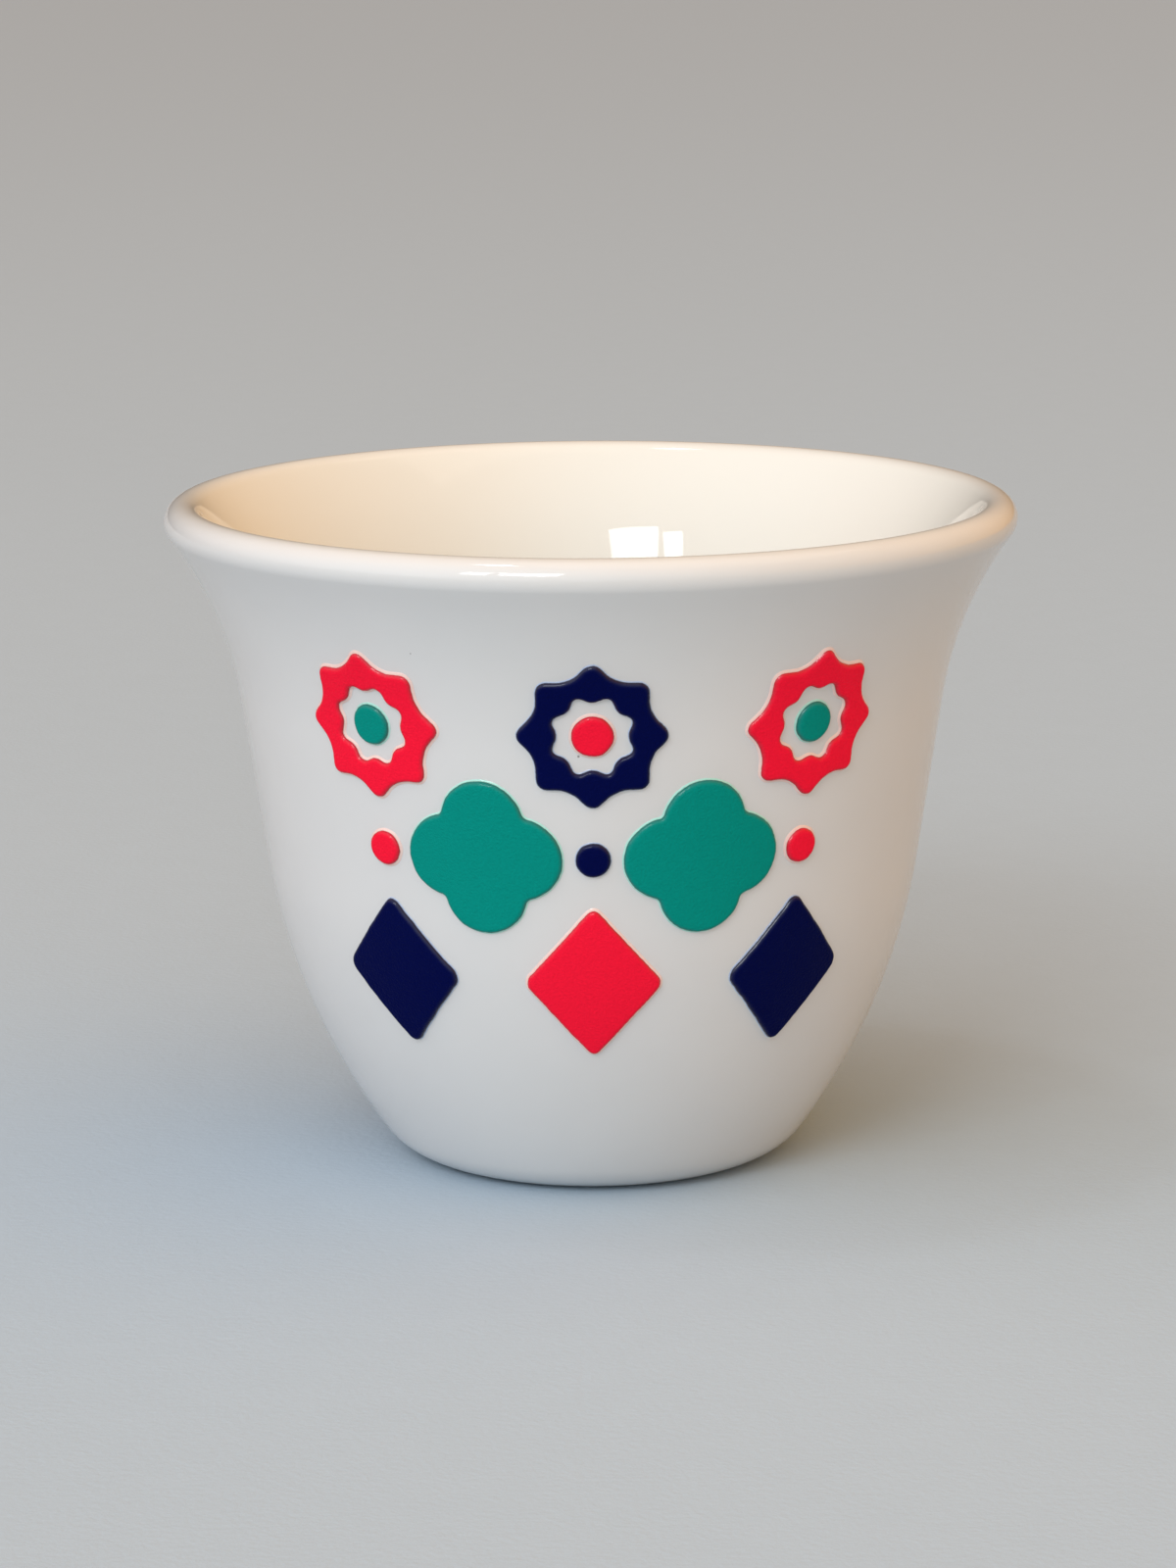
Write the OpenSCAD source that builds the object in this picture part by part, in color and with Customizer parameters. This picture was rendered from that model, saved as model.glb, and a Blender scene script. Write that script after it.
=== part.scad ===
// Small handleless coffee cup in white porcelain, with raised enamel ornament on two sides.
// The cup stands on z = 0 and its axis is Z. The front panel faces -Y. Lengths are millimetres.

/* [Cup] */
// Diameter over the lip
rim_d = 65; // [61:0.5:70]
// Height from the table to the top of the lip
cup_h = 51; // [48:0.5:55]
// Diameter at which the belly's curve would meet the table
base_d = 29.6; // [27:0.2:33]
// Lean of the straight part of the wall, in degrees
wall_lean = 8.6; // [6:0.1:10]
// How far the middle of the lip stands out from the line of the straight wall
flare_out = 1.95; // [1.2:0.05:2.8]
// Radius of the belly's outer curve
belly_r = 48.5; // [44:0.5:56]
// Radius of the flare's outer curve
flare_r = 29; // [26:0.5:34]
// Thickness of the wall and of the full-round lip
wall_t = 3; // [2.4:0.1:3.6]

/* [Base] */
// Radius of the rounded corner between the belly and the foot
corner_r = 5.3; // [4:0.1:6.5]
// Width of the flat foot ring that the cup stands on
foot_w = 2.4; // [1.8:0.1:3.2]
// Height of the shallow recess inside the foot ring
recess_h = 1.4; // [0.8:0.1:1.8]
// Thickness of the floor in the middle
floor_t = 4; // [3:0.1:5]
// Radius between the floor and the wall inside
inner_r = 9; // [6:0.5:12]

/* [Enamel] */
// How far the enamel stands proud of the glaze
enamel_t = 0.45; // [0.3:0.05:0.7]
// Clear distance between an ornament and its neighbour in the same row
motif_gap = 0.95; // [0.7:0.05:1.4]
// Width of an open star, point to point
star_w = 11.6; // [10.4:0.1:12.6]
// Width of the star's line
star_line = 1.8; // [1.4:0.1:2]
// Width of a quatrefoil across two lobes
quatrefoil_w = 11.6; // [10:0.1:12.6]
// Width of a lozenge
lozenge_w = 10.2; // [8.5:0.1:11.5]
// Height of a lozenge
lozenge_h = 12; // [10.5:0.1:13]
// Diameter of the dots in the middle row
dot_d = 2.6; // [2:0.1:3.2]

/* [Hidden] */
sides = ["front", "back"];
side_turns = [0, 180];
rows = ["star", "star_centre", "quatrefoil", "dot", "lozenge"];
places = ["left", "middle", "right"];
place_shares = [-1, 0, 1];
pair_places = ["left", "right"];
pair_shares = [-0.5, 0.5];

function places_of(row) = row == "quatrefoil" ? pair_places : places;
function shares_of(row) = row == "quatrefoil" ? pair_shares : place_shares;
function node_name(side, row, place) = str(side, "_", row, "_", place);
ENAMEL = [for (side = sides) for (row = rows) for (place = places_of(row)) node_name(side, row, place)];

white = "#EDEAE4";
red = "#E81C3A";
navy = "#0A1047";
green = "#0D877C";
mesh_steps = 180;

// Profile in the (radius, height) plane. The straight wall's line lies inside the lip by flare_out.
// A flare arc joins it to the lip, a belly arc to the base, and each is tangent to the next. The
// wall's thickness is laid off inwards on the same centres.
function along(a) = [sin(a), cos(a)];
function inward(a) = [-cos(a), sin(a)];
function polar(a) = [cos(a), sin(a)];

up_wall = along(wall_lean);
into_wall = inward(wall_lean);

lip_r = wall_t / 2;
lip_c = [rim_d / 2 - lip_r, cup_h - lip_r];
wall_point = lip_c + into_wall * flare_out;

flare_arm = flare_r + lip_r;
flare_gap = flare_r - flare_out;
flare_run = sqrt(flare_arm * flare_arm - flare_gap * flare_gap);
flare_foot = wall_point - up_wall * flare_run;
flare_c = flare_foot - into_wall * flare_r;
lip_arm = lip_c - flare_c;
lip_turn = atan2(lip_arm[1], -lip_arm[0]);

base_arm = [base_d / 2, 0] - wall_point;
base_depth = base_arm * into_wall;
belly_run = sqrt(2 * belly_r * base_depth - base_depth * base_depth);
belly_top = wall_point + up_wall * (base_arm * up_wall + belly_run);
belly_c = belly_top + into_wall * belly_r;

corner_arm = belly_r - corner_r;
corner_drop = belly_c[1] - corner_r;
corner_c = [belly_c[0] + sqrt(corner_arm * corner_arm - corner_drop * corner_drop), corner_r];
corner_turn = asin(corner_drop / corner_arm);

floor_top = recess_h + floor_t;
inner_arm = belly_r - wall_t - inner_r;
inner_drop = belly_c[1] - floor_top - inner_r;
inner_c = [belly_c[0] + sqrt(inner_arm * inner_arm - inner_drop * inner_drop), floor_top + inner_r];
inner_turn = asin(inner_drop / inner_arm);

foot_edge = corner_c[0] - foot_w;
arc_tol = 0.01;

// Placement of the ornaments: the middle row sits on the straight wall, and the columns are spaced
// so that a dot fits between two quatrefoils with a gap on each side.
row_mid_share = 0.553;
row_nest_share = 0.81;
row_mid = cup_h * row_mid_share;
mid_radius = wall_point[0] + (row_mid - wall_point[1]) * tan(wall_lean);
pair_pitch = quatrefoil_w + dot_d + 2 * motif_gap;
column_turn = 180 * pair_pitch / (PI * mid_radius);
star_row = row_mid + (star_w + quatrefoil_w) / 2 * row_nest_share;
lozenge_row = row_mid - (lozenge_h + quatrefoil_w) / 2 * row_nest_share;

// A star's hollow is the same star drawn in by its line. Its notches lie nearer the centre than its
// points by this share.
star_notch_share = cos(45) / cos(22.5);
star_hollow_w = star_w - 2 * sqrt(2) * star_line;
star_centre_d = star_hollow_w * star_notch_share - 2 * motif_gap;
// Radius of a quatrefoil's lobes as a share of its width
lobe_share = 0.27;

// Points along an arc from one angle to another, close enough together that no chord lies further
// from the arc than arc_tol. The first point is left out where the piece before it ends there.
function arc(c, r, from, to, first = 0) = let (
    step = 2 * acos(1 - arc_tol / r),
    n = ceil(abs(to - from) / step)
) [for (i = [first:n]) c + r * polar(from + (to - from) * i / n)];

// The outer wall drawn out from its surface by a distance, from the corner up to the lip
function wall_line(out) = concat(
    arc(belly_c, belly_r + out, -corner_turn, -wall_lean),
    arc(flare_c, flare_r - out, 180 - wall_lean, 180 - lip_turn)
);

function reversed(points) = [for (i = [len(points) - 1:-1:0]) points[i]];

foot_line = [
    [0, recess_h],
    [foot_edge - recess_h, recess_h],
    [foot_edge, 0]
];
corner_line = arc(corner_c, corner_r, -90, -corner_turn);
belly_line = arc(belly_c, belly_r, -corner_turn, -wall_lean, 1);
flare_line = arc(flare_c, flare_r, 180 - wall_lean, 180 - lip_turn);
lip_line = arc(lip_c, lip_r, -lip_turn, 180 - lip_turn, 1);
inner_flare_line = arc(flare_c, flare_r + wall_t, 180 - lip_turn, 180 - wall_lean, 1);
inner_belly_line = arc(belly_c, belly_r - wall_t, -wall_lean, -inner_turn);
inner_corner_line = arc(inner_c, inner_r, -inner_turn, -90, 1);

// The cup: foot ring, outside, lip, inside and floor
module cup_body() {
    color(white) rotate_extrude($fn = mesh_steps) polygon(concat(
        foot_line,
        corner_line,
        belly_line,
        flare_line,
        lip_line,
        inner_flare_line,
        inner_belly_line,
        inner_corner_line,
        [[0, floor_top]]
    ));
}

// Skin of one enamel thickness over the whole outer wall, from which the ornaments are cut
module enamel_skin() {
    rotate_extrude($fn = mesh_steps) polygon(concat(wall_line(0), reversed(wall_line(enamel_t))));
}

// An outline carried straight out through the skin at one bearing and height
module enamel(turn, height) {
    intersection() {
        enamel_skin();
        rotate([0, 0, turn]) translate([0, 0, height]) rotate([90, 0, 0])
            linear_extrude(height = rim_d) children();
    }
}

// Eight-point star of two crossed squares
module star_shape(w) {
    side = w / sqrt(2);
    square(side, center = true);
    rotate(45) square(side, center = true);
}

module star() {
    difference() {
        star_shape(star_w);
        star_shape(star_hollow_w);
    }
}

module star_centre() {
    circle(d = star_centre_d, $fn = mesh_steps);
}

// Four round lobes that overlap in the middle
module quatrefoil() {
    lobe_r = quatrefoil_w * lobe_share;
    for (turn = [0:90:270])
        rotate(turn) translate([quatrefoil_w / 2 - lobe_r, 0]) circle(r = lobe_r, $fn = mesh_steps);
}

module lozenge() {
    polygon([
        [0, lozenge_h / 2],
        [lozenge_w / 2, 0],
        [0, -lozenge_h / 2],
        [-lozenge_w / 2, 0]
    ]);
}

module dot() {
    circle(d = dot_d, $fn = mesh_steps);
}

function height_of(row) = row == "star" || row == "star_centre" ? star_row
    : row == "lozenge" ? lozenge_row
    : row_mid;

function colour_of(row, share) = row == "star" ? (share == 0 ? navy : red)
    : row == "star_centre" ? (share == 0 ? red : green)
    : row == "quatrefoil" ? green
    : row == "dot" ? (share == 0 ? navy : red)
    : (share == 0 ? red : navy);

// One ornament of a row, at a share of the column spacing from the middle of its panel
module ornament(row, side_turn, share) {
    color(colour_of(row, share)) enamel(side_turn + share * column_turn, height_of(row)) {
        if (row == "star") star();
        if (row == "star_centre") star_centre();
        if (row == "quatrefoil") quatrefoil();
        if (row == "dot") dot();
        if (row == "lozenge") lozenge();
    }
}

cup_body();
for (s = [0:len(sides) - 1]) for (row = rows) for (p = [0:len(places_of(row)) - 1])
    ornament(row, side_turns[s], shares_of(row)[p]);
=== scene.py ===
"""Small handleless coffee cup in white porcelain, with raised enamel ornament on two sides.

The cup stands on z = 0 and its axis is Z. The front panel faces -Y. Lengths are metres.
"""

import math

import bmesh
import bpy
from bpy.props import FloatProperty, FloatVectorProperty, PointerProperty
from mathutils import Matrix, Vector, noise


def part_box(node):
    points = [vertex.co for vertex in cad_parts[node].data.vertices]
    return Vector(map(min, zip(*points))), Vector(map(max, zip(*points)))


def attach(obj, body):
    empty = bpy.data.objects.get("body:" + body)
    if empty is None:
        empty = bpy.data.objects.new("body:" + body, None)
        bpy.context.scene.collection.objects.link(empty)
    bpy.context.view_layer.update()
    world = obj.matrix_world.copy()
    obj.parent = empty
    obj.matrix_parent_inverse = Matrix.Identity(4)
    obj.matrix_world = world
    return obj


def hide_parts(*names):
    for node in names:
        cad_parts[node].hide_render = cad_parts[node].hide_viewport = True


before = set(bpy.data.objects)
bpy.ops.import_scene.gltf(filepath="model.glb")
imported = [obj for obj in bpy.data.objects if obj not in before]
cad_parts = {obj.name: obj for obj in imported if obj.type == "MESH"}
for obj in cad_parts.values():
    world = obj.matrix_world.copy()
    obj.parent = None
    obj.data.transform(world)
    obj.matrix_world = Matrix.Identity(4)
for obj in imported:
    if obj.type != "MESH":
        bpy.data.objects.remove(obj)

bl_info = {
    "name": "Small coffee cup",
    "version": (1, 0, 0),
    "blender": (4, 5, 0),
    "location": "3D View > Sidebar > Coffee cup",
    "description": "Porcelain coffee cup with raised enamel ornament",
    "category": "Object",
}

MM = 0.001

# Steps round the cup, a rounded corner, the bead of flux and the edge of the colour
TURN_STEPS = 192
CORNER_STEPS = 5
BEAD_STEPS = 3
EDGE_STEPS = 6
# Longest stretch of an outline, and widest face within it once it is laid on the wall
OUTLINE_STEP = 0.2 * MM
FACE_STEP = 0.6 * MM
# Two points nearer than this are one
MERGE = 0.01 * MM
# A face is flat where its normal's height is more than this
FLAT = 0.999
# Edges that turn by more than this look sharp
CUP_SHARP = math.radians(60)
ENAMEL_SHARP = math.radians(50)

# Bearings of the two panels, and places in a row as shares of the spacing between columns
SIDES = {"front": 0.0, "back": math.pi}
COLUMNS = {"left": -1.0, "middle": 0.0, "right": 1.0}
BETWEEN = {"left": -0.5, "right": 0.5}
STAR_POINTS = 8

# Seed of the noise, which would otherwise differ from run to run
NOISE_SEED = 1
# Steps through the noise for a radian of bearing, and to the finer layers of one piece
BEARING_STEP = 10
NIBBLE_STEP = 50
RIPPLE_STEP = 100
# Layers of finer noise in clouds of colour, in smooth swells, in the floor's paper and in bare clay
CLOUD_DETAIL = 3.0
SMOOTH_DETAIL = 1.0
PAPER_DETAIL = 3.0
CLAY_DETAIL = 4.0

COLOUR_SOCKET = "NodeSocketColor"
NUMBER_SOCKET = "NodeSocketFloat"
# Numbers of a Mix node's colour sockets, because its other sockets have the same names
MIX_FIRST = 6
MIX_SECOND = 7
MIX_RESULT = 2
# Spacing of the nodes in the editor
NODE_SPACING = 220

# Bearing and elevation in degrees of the soft glows round the stage. A bearing is 0 at the camera and
# grows to the right.
GLOWS = {"window_side": (-55, 35), "front_side": (-25, 0), "warm_side": (95, 15)}
# Bearing and elevation in degrees, and distance, width and height in metres, of each lamp
LAMPS = {
    "window_wide": (-17.0, 33.0, 1.0, 0.27, 0.27),
    "window_narrow": (-32.3, 31.5, 1.0, 0.11, 0.24),
    "skylight": (-75.0, 76.0, 1.0, 0.12, 0.10),
    "overhead": (95.0, 76.0, 1.2, 1.0, 1.0),
}
# Width of the camera's frame in millimetres, and how near and how far it sees in metres
FRAME_WIDTH = 36.0
NEAREST = 10 * MM
FARTHEST = 20.0


def span(node, axis):
    """Size of a CAD node along an axis"""
    low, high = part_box(node)
    return high[axis] - low[axis]


def middle(node, axis):
    """Middle of a CAD node along an axis"""
    low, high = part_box(node)
    return (low[axis] + high[axis]) / 2


def length(name, description, default):
    """A length in metres that a user may change"""
    return FloatProperty(
        name=name, description=description, default=default, min=0.0, unit="LENGTH", subtype="DISTANCE"
    )


def angle(name, description, default):
    """An angle that a user may change, with its default in degrees"""
    return FloatProperty(
        name=name,
        description=description,
        default=math.radians(default),
        unit="ROTATION",
        subtype="ANGLE",
    )


def share(name, description, default):
    """A value between 0 and 1 that a user may change"""
    return FloatProperty(
        name=name, description=description, default=default, min=0.0, max=1.0, subtype="FACTOR"
    )


def colour(name, description, default):
    """A colour that a user may change, in linear light"""
    return FloatVectorProperty(
        name=name, description=description, default=default, size=3, min=0.0, max=1.0, subtype="COLOR"
    )


def power(name, description, default):
    """A lamp's power in watts"""
    return FloatProperty(name=name, description=description, default=default, min=0.0, unit="POWER")


class CupShape(bpy.types.PropertyGroup):
    """Sizes of the porcelain body"""

    rim_radius: length("Rim radius", "Radius over the lip", span("cup_body", 0) / 2)
    height: length("Height", "Height from the table to the top of the lip", span("cup_body", 2))
    base_radius: length("Base radius", "Radius at which the belly's curve would meet the table", 14.8 * MM)
    wall_lean: angle("Wall lean", "Lean of the straight part of the wall", 8.6)
    flare_out: length("Flare", "How far the lip stands out from the straight wall's line", 1.95 * MM)
    belly_radius: length("Belly radius", "Radius of the belly's outer curve", 48.5 * MM)
    flare_radius: length("Flare radius", "Radius of the flare's outer curve", 29 * MM)
    wall: length("Wall", "Thickness of the wall and of the round lip", 3 * MM)
    corner_radius: length("Corner radius", "Radius between the belly and the foot", 5.3 * MM)
    foot_width: length("Foot width", "Width of the flat foot ring", 2.4 * MM)
    recess_height: length("Recess height", "Height of the recess inside the foot ring", 1.4 * MM)
    recess_round: length("Recess rounding", "Radius of the recess's soft edges", 0.8 * MM)
    floor: length("Floor", "Thickness of the floor in the middle", 4 * MM)
    inner_radius: length("Inner radius", "Radius between the floor and the wall inside", 9 * MM)
    bare_height: length("Bare foot height", "Height up to which the foot has no glaze", 0.1 * MM)


class EnamelShape(bpy.types.PropertyGroup):
    """Sizes of the raised ornament"""

    star_width: length("Star width", "Width of an open star", span("front_star_middle", 0))
    star_line: length("Star line", "Width of the star's line", 1.8 * MM)
    centre_width: length("Star centre", "Diameter of a star's centre", span("front_star_centre_middle", 0))
    quatrefoil_width: length("Quatrefoil width", "Width across two lobes", 11.6 * MM)
    lobe_share: share("Lobe share", "Radius of a lobe as a share of the quatrefoil's width", 0.27)
    lozenge_width: length("Lozenge width", "Width of a lozenge", span("front_lozenge_middle", 0))
    lozenge_height: length("Lozenge height", "Height of a lozenge", span("front_lozenge_middle", 2))
    dot_width: length("Dot width", "Diameter of a dot", span("front_dot_middle", 0))
    gap: length("Gap", "Clear distance between neighbours in a row", 0.95 * MM)
    thickness: length("Thickness", "How far the enamel stands proud of the glaze", 0.40 * MM)
    corner_round: length("Corner rounding", "Length of side that a rounded corner takes", 0.86 * MM)
    edge_width: length("Edge width", "Width of the rounded edge", 0.36 * MM)
    red_margin: length("Red margin", "Width of the clear flux round the red enamel", 0.17 * MM)
    navy_margin: length("Navy margin", "Width of the clear flux round the navy enamel", 0.05 * MM)
    green_margin: length("Green margin", "Width of the clear flux round the green enamel", 0.10 * MM)
    margin_lift: length("Margin lift", "Height of the flux's outer edge above the glaze", 0.012 * MM)
    margin_foot: angle("Margin foot", "Slope of the bead of flux at its outer edge", 38)
    margin_crest: angle("Margin crest", "Slope of the bead of flux where the colour begins", 10)
    seat: length("Seat", "How far the enamel has sunk into the glaze", 0.03 * MM)
    ragged: length("Raggedness", "How far an edge wanders from its outline", 0.035 * MM)
    ragged_size: length("Raggedness size", "Length of an edge's wanderings", 0.9 * MM)
    nibbled: length("Nibbled edge", "Depth of the finest unevenness of an edge", 0.022 * MM)
    nibbled_size: length("Nibble size", "Length of the finest unevenness of an edge", 0.28 * MM)
    ripple: length("Ripple", "How uneven the enamel's top is", 0.02 * MM)
    ripple_size: length("Ripple size", "Width of the ripples in the enamel's top", 1.8 * MM)


class CupFinish(bpy.types.PropertyGroup):
    """Colours and surfaces"""

    glaze: colour("Glaze", "Glaze on the outside", (0.676, 0.664, 0.650))
    glaze_cloud: colour("Glaze clouds", "Tone of the glaze where it lies thicker", (0.640, 0.632, 0.624))
    # Painted light: the inside's glaze colour is warmer and paler than the outside's, standing in for warm
    # light that bounces within the cup
    inside_painted_warmth: colour("Glaze inside", "Warmer glaze on the inside", (0.735, 0.728, 0.672))
    cloud_size: length("Cloud size", "Width of the clouds in the glaze", 9 * MM)
    wave_size: length("Wave size", "Length of the long waves in the glaze", 7 * MM)
    wave_depth: length("Wave depth", "Depth of the long waves in the glaze", 0.035 * MM)
    peel_size: length("Peel size", "Length of the short ripples in the glaze", 1.3 * MM)
    peel_depth: length("Peel depth", "Depth of the short ripples in the glaze", 0.0012 * MM)
    glaze_roughness: share("Glaze roughness", "Roughness of the glaze", 0.035)
    speck: colour("Speck", "Iron specks in the glaze", (0.27, 0.25, 0.23))
    speck_spacing: length("Speck spacing", "Spacing of the grid in which the specks are sown", 5.7 * MM)
    speck_radius: length("Speck radius", "Radius of the largest specks", 0.09 * MM)

    biscuit: colour("Bare clay", "Unglazed clay of the foot ring", (0.58, 0.53, 0.47))
    biscuit_dark: colour("Dark clay", "Darker clouds in the bare clay", (0.47, 0.43, 0.38))
    biscuit_size: length("Clay clouds", "Width of the clouds in the bare clay", 0.9 * MM)
    biscuit_grain: length("Clay grain", "Grain size of the bare clay", 0.25 * MM)
    biscuit_depth: length("Clay grain depth", "Depth of the bare clay's grain", 0.03 * MM)
    biscuit_roughness: share("Clay roughness", "Roughness of the bare clay", 0.9)

    red: colour("Red", "Red enamel", (0.99, 0.010, 0.041))
    navy: colour("Navy", "Navy enamel", (0.0003, 0.0022, 0.052))
    green: colour("Green", "Green enamel", (0.001, 0.265, 0.215))
    red_margin: colour("Red margin", "Flux round the red enamel", (0.83, 0.60, 0.54))
    navy_margin: colour("Navy margin", "Flux round the navy enamel", (0.42, 0.50, 0.66))
    green_margin: colour("Green margin", "Flux round the green enamel", (0.40, 0.72, 0.62))
    mottle: share("Mottle", "Tone of the darker mottles as a share of the enamel's colour", 0.82)
    # Painted shade: the enamel's colour darkens towards the foot of its rounded edge, down to this share
    edge_painted_shade: share("Edge tone", "Tone of the enamel's edges as a share of its colour", 0.5)
    mottle_size: length("Mottle size", "Width of the mottles in the enamel's colour", 0.2 * MM)
    pool_size: length("Pool size", "Width of the low swells in the enamel's top", 0.9 * MM)
    pool_depth: length("Pool depth", "Depth of the low swells in the enamel's top", 0.02 * MM)
    grain_size: length("Grain size", "Grain size of the enamel", 0.15 * MM)
    grain_depth: length("Grain depth", "Depth of the grain on the enamel's top", 0.065 * MM)
    edge_grain: length("Edge grain", "Depth of the grain on the enamel's edges and margin", 0.018 * MM)
    enamel_roughness: share("Enamel roughness", "Roughness of the enamel's top", 0.5)
    edge_roughness: share("Edge roughness", "Roughness of the enamel's edges and margin", 0.07)
    enamel_sheen: share("Enamel sheen", "Strength of reflections on the enamel's top", 0.03)
    edge_gloss: share("Edge gloss", "Strength of the clear gloss on the enamel's edges and margin", 1.0)
    gloss_ior: FloatProperty(name="Gloss IOR", description="Index of refraction of the gloss", default=1.6)
    body_ior: FloatProperty(name="IOR", description="Index of refraction of glaze and enamel", default=1.5)


class StageSetup(bpy.types.PropertyGroup):
    """Camera, floor and lamps"""

    camera_distance: length("Camera distance", "From the cup's axis to the camera", 368.6 * MM)
    camera_side: FloatProperty(
        name="Camera side",
        description="How far the camera stands to the right of the cup's axis",
        default=-0.34 * MM,
        unit="LENGTH",
        subtype="DISTANCE",
    )
    camera_height: length("Camera height", "From the table to the camera", 104.5 * MM)
    camera_pitch: angle("Camera pitch", "How far the camera looks down", 11.654)
    camera_roll: angle("Camera roll", "Turn of the camera about its own axis", -0.35)
    camera_lens: FloatProperty(
        name="Lens", description="Focal length in millimetres on a 36 mm frame", default=111.9, min=1.0
    )
    floor_reach: length("Floor reach", "From the cup to the floor's edge", 6.0)
    floor: colour("Floor", "Colour of the floor", (0.42, 0.52, 0.61))
    floor_cloud: colour("Floor clouds", "Darker clouds in the floor", (0.407, 0.504, 0.59))
    floor_cloud_size: length("Floor cloud size", "Width of the clouds in the floor", 4 * MM)
    floor_grain: length("Floor grain", "Grain size of the floor", 0.6 * MM)
    floor_depth: length("Floor grain depth", "Depth of the floor's grain", 0.05 * MM)
    floor_roughness: share("Floor roughness", "Roughness of the floor", 0.85)
    daylight: colour("Daylight", "Tone of the window panes and the skylight", (0.93, 0.97, 1.0))
    lamplight: colour("Lamplight", "Tone of the lamp over the right side", (1.0, 0.94, 0.80))
    window_wide_power: power("Wide pane", "Power of the window's wide pane", 1.72)
    window_narrow_power: power("Narrow pane", "Power of the window's narrow pane", 0.69)
    skylight_power: power("Skylight", "Power of the small lamp high at the left", 0.45)
    overhead_power: power("Overhead", "Power of the lamp over the cup's right side", 1.63)
    glow: FloatProperty(name="Glow", description="Strength of the glow all round", default=1.3, min=0.0)
    room: colour("Room", "Even light of the room", (0.02, 0.02, 0.02))
    window_side: colour("Window side", "Glow at the left front", (0.90, 0.685, 0.59))
    front_side: colour("Front side", "Glow at the front", (0.29, 0.565, 0.72))
    warm_side: colour("Warm side", "Glow at the right", (0.82, 0.44, 0.145))


def clamped(value):
    """A value kept between 0 and 1"""
    return min(max(value, 0.0), 1.0)


class Wall:
    """Arcs of the wall in the (radius, height) plane, worked out from the cup's sizes"""

    def __init__(self, cup):
        self.cup = cup
        self.lean = cup.wall_lean
        up = Vector((math.sin(self.lean), math.cos(self.lean)))
        self.inward = Vector((-math.cos(self.lean), math.sin(self.lean)))

        lip_radius = cup.wall / 2
        self.lip = Vector((cup.rim_radius - lip_radius, cup.height - lip_radius))
        point = self.lip + self.inward * cup.flare_out
        arm = cup.flare_radius + lip_radius
        self.flare_foot = point - up * math.sqrt(arm**2 - (cup.flare_radius - cup.flare_out) ** 2)
        self.flare = self.flare_foot - self.inward * cup.flare_radius
        lip_arm = self.lip - self.flare
        self.lip_turn = math.atan2(lip_arm.y, -lip_arm.x)

        base_arm = Vector((cup.base_radius, 0.0)) - point
        depth = base_arm.dot(self.inward)
        run = math.sqrt(2 * cup.belly_radius * depth - depth**2)
        self.belly_top = point + up * (base_arm.dot(up) + run)
        self.belly = self.belly_top + self.inward * cup.belly_radius

        self.corner, self.corner_turn = self.blend_into_belly(cup.belly_radius, cup.corner_radius, 0.0)
        self.floor_top = cup.recess_height + cup.floor
        self.inner, self.inner_turn = self.blend_into_belly(
            cup.belly_radius - cup.wall, cup.inner_radius, self.floor_top
        )
        self.foot_edge = self.corner.x - cup.foot_width

    def blend_into_belly(self, belly_radius, radius, level):
        """Centre and turn of an arc that rests on a level and runs on into the belly's curve"""
        arm = belly_radius - radius
        drop = self.belly.y - level - radius
        centre = Vector((self.belly.x + math.sqrt(arm**2 - drop**2), level + radius))
        return centre, math.asin(drop / arm)

    def lean_at(self, height):
        """Lean of the outer wall at a height"""
        if height < self.belly_top.y:
            return math.asin((self.belly.y - height) / self.cup.belly_radius)
        if height > self.flare_foot.y:
            return math.asin((height - self.flare.y) / self.cup.flare_radius)
        return self.lean

    def radius_at(self, height):
        """Radius of the outer wall at a height"""
        lean = self.lean_at(height)
        if height < self.belly_top.y:
            return self.belly.x + self.cup.belly_radius * math.cos(lean)
        if height > self.flare_foot.y:
            return self.flare.x - self.cup.flare_radius * math.cos(lean)
        return self.belly_top.x + (height - self.belly_top.y) * math.tan(lean)


class Outline:
    """A line traced run by run in the X-Z plane of a bmesh, with turns counted anticlockwise"""

    finest_turn = math.radians(6)
    longest_run = 0.8 * MM

    def __init__(self, bm, x, z):
        self.bm = bm
        self.tip = bm.verts.new((x, 0.0, z))

    def line(self, x, z):
        """Runs straight on to a point"""
        made = bmesh.ops.extrude_vert_indiv(self.bm, verts=[self.tip])
        self.tip = made["verts"][0]
        self.tip.co = (x, 0.0, z)

    def arc(self, centre, turn):
        """Runs on round a centre"""
        pivot = Vector((centre.x, 0.0, centre.y))
        radius = (self.tip.co - pivot).length
        steps = math.ceil(max(abs(turn) / self.finest_turn, abs(turn) * radius / self.longest_run))
        made = bmesh.ops.spin(
            self.bm, geom=[self.tip], cent=pivot, axis=(0, -1, 0), angle=turn, steps=steps
        )
        self.tip = made["geom_last"][0]


def trace_foot(outline, cup, wall):
    """Recess and foot ring, from the axis to the corner, with soft edges on the sloping side"""
    slope = math.radians(45)
    soft = cup.recess_round
    reach = soft * math.tan(slope / 2)
    upper = wall.foot_edge - cup.recess_height - reach
    lower = wall.foot_edge + reach
    along = reach * math.cos(slope)
    outline.line(upper, cup.recess_height)
    outline.arc(Vector((upper, cup.recess_height - soft)), -slope)
    outline.line(wall.foot_edge - along, along)
    outline.arc(Vector((lower, soft)), slope)
    outline.line(wall.corner.x, 0.0)


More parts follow.
